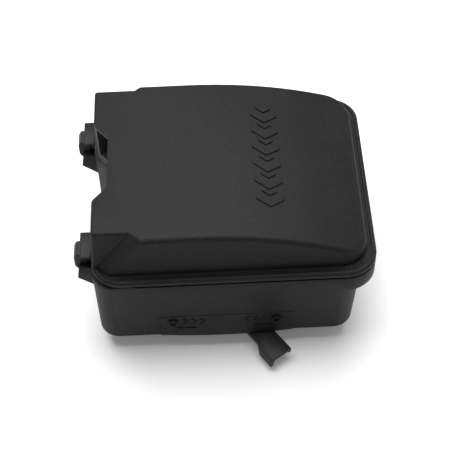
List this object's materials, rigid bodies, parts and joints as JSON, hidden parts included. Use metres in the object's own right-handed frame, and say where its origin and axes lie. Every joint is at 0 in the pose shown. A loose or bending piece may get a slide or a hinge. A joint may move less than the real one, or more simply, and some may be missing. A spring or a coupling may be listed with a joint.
{
  "type": "air filter housing",
  "caption": "Low-profile engine air filter housing: domed clip-on cover, foam element in a tray, carburettor port boss and a choke lever under the base.",
  "frame": {"origin": "centre of the carburettor port, in the outer face of its gasket", "axes": "+Z from the gasket face towards the cover, +X away from the clips, +Y to the back, away from the choke lever"},
  "size_m": [0.1592, 0.1444, 0.089],
  "materials": {
    "housing_plastic": "fine moulded grain, matt",
    "clip_plastic": "smooth moulded, satin",
    "lever_plastic": "smooth moulded, satin",
    "tray_plastic": "moulded, satin",
    "snorkel_plastic": "moulded, matt",
    "seal_rubber": "matt",
    "fine_foam": "oiled fine-pored foam",
    "coarse_foam": "open-pored foam",
    "zinc_steel": "zinc plated",
    "spring_steel": "bare spring steel",
    "gasket_fibre": "compressed fibre sheet"
  },
  "bodies": {
    "base": {"base_shell": "housing_plastic", "rim_seal": "seal_rubber", "filter_tray": "tray_plastic", "main_foam": "fine_foam", "pre_filter_foam": "coarse_foam", "foam_retainer": "tray_plastic", "retainer_screws": "zinc_steel", "carb_gasket": "gasket_fibre", "clamp_plate": "zinc_steel", "clamp_screws": "zinc_steel", "stud_collars": "zinc_steel", "bracket_grommet": "seal_rubber", "bracket_collar": "zinc_steel", "breather_nipple": "tray_plastic", "clip_pin_front": "zinc_steel", "clip_pin_rear": "zinc_steel", "choke_pivot_screw": "zinc_steel", "choke_wave_washer": "spring_steel"},
    "cover": {"cover_shell": "housing_plastic", "intake_snorkel": "snorkel_plastic"},
    "front_clip": {"clip_front": "clip_plastic"},
    "rear_clip": {"clip_rear": "clip_plastic"},
    "choke": {"choke_lever": "lever_plastic"}
  },
  "joints": [
    {"name": "cover_lift", "type": "slide", "parent": "base", "child": "cover", "axis": [0, 0, 1], "range_m": [0, 0.025]},
    {"name": "clip_front_swing", "type": "hinge", "parent": "base", "child": "front_clip", "pos_m": [-0.0724, -0.0394, 0.0528], "axis": [0, -1, 0], "range_deg": [0, 111]},
    {"name": "clip_rear_swing", "type": "hinge", "parent": "base", "child": "rear_clip", "pos_m": [-0.0724, 0.0394, 0.0528], "axis": [0, -1, 0], "range_deg": [0, 111]},
    {"name": "choke_lever_turn", "type": "hinge", "parent": "base", "child": "choke", "pos_m": [0.0026, -0.0375, 0.01], "axis": [0, 0, 1], "range_deg": [-70, 0]}
  ],
  "couplings": [
    {"joint": "clip_front_swing", "follows": "cover_lift", "rad_per_m": 76.794},
    {"joint": "clip_rear_swing", "follows": "cover_lift", "rad_per_m": 76.794}
  ]
}
